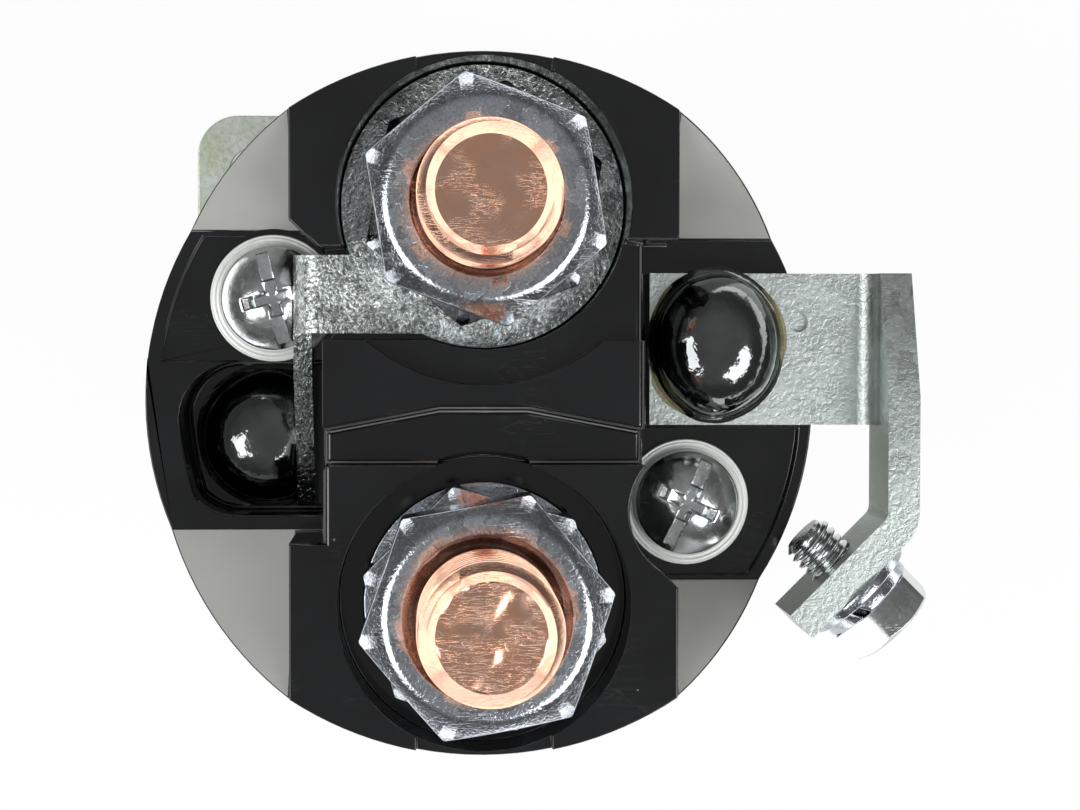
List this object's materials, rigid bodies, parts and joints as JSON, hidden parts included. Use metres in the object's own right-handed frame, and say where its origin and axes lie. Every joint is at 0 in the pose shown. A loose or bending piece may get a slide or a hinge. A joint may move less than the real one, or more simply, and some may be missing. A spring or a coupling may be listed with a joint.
{
  "type": "starter solenoid relay",
  "caption": "Round starter solenoid with a flanged steel can, a sliding plunger with a lever slot, and a black terminal cap with threaded copper studs and a switch terminal.",
  "frame": {"origin": "centre of the mounting flange's front face, on the solenoid's axis", "axes": "+Z along the axis towards the terminal studs, +Y from the battery stud to the motor stud, +X towards the switch terminal"},
  "size_m": [0.0606, 0.053, 0.1095],
  "materials": {
    "zinc_plate": "bright zinc plating, slightly bluish, scuffed",
    "yellow_zinc": "olive tinted zinc plating",
    "sleeve_brass": "drawn brass",
    "bobbin_plastic": "moulded",
    "enamelled_wire": "enamelled copper wire",
    "wrap_tape": "varnished tape",
    "bare_steel": "turned",
    "seal_rubber": "moulded",
    "black_phenolic": "moulded, glossy",
    "copper": "rolled thread, bright copper",
    "solder": "smooth, with a thin flux film",
    "spring_steel": "drawn wire",
    "insulator_phenolic": "pressed laminate"
  },
  "bodies": {
    "housing": {"mounting_flange": "yellow_zinc", "housing_can": "yellow_zinc", "plunger_sleeve": "sleeve_brass", "coil_bobbin": "bobbin_plastic", "pull_in_winding": "enamelled_wire", "hold_in_winding": "enamelled_wire", "winding_wrap": "wrap_tape", "stationary_core": "bare_steel", "core_plate": "bare_steel", "cap_gasket": "seal_rubber", "terminal_cap": "black_phenolic", "cap_screws": "zinc_plate", "cap_screw_washers": "zinc_plate", "battery_stud": "copper", "motor_stud": "copper", "stud_seals": "seal_rubber", "battery_lock_washer": "zinc_plate", "battery_nuts": "zinc_plate", "motor_nuts": "zinc_plate", "motor_terminal_plate": "zinc_plate", "switch_terminal_bracket": "zinc_plate", "switch_screw": "zinc_plate", "switch_spring_washer": "zinc_plate", "switch_plain_washer": "zinc_plate", "motor_solder_joint": "solder", "switch_solder_joint": "solder", "pull_in_lead": "enamelled_wire", "switch_lead": "enamelled_wire"},
    "plunger": {"plunger": "bare_steel", "lever_pin": "zinc_plate", "plunger_return_spring": "spring_steel"},
    "contact": {"contact_rod": "zinc_plate", "contact_bridge": "copper", "lower_insulator": "insulator_phenolic", "upper_insulator": "insulator_phenolic", "contact_spring": "spring_steel", "rod_collar": "zinc_plate", "rod_clip": "spring_steel", "contact_return_spring": "spring_steel"}
  },
  "joints": [
    {"name": "plunger_slide", "type": "slide", "parent": "housing", "child": "plunger", "axis": [0, 0, 1], "range_m": [0, 0.01], "stiffness_N_per_m": 900, "springref_m": -0.012, "deforming": ["plunger_return_spring"]},
    {"name": "contact_slide", "type": "slide", "parent": "housing", "child": "contact", "axis": [0, 0, 1], "range_m": [0, 0.002], "deforming": ["contact_return_spring"]}
  ],
  "couplings": [
    {"joint": "contact_slide", "follows": "plunger_slide", "ratio": 0.2}
  ]
}
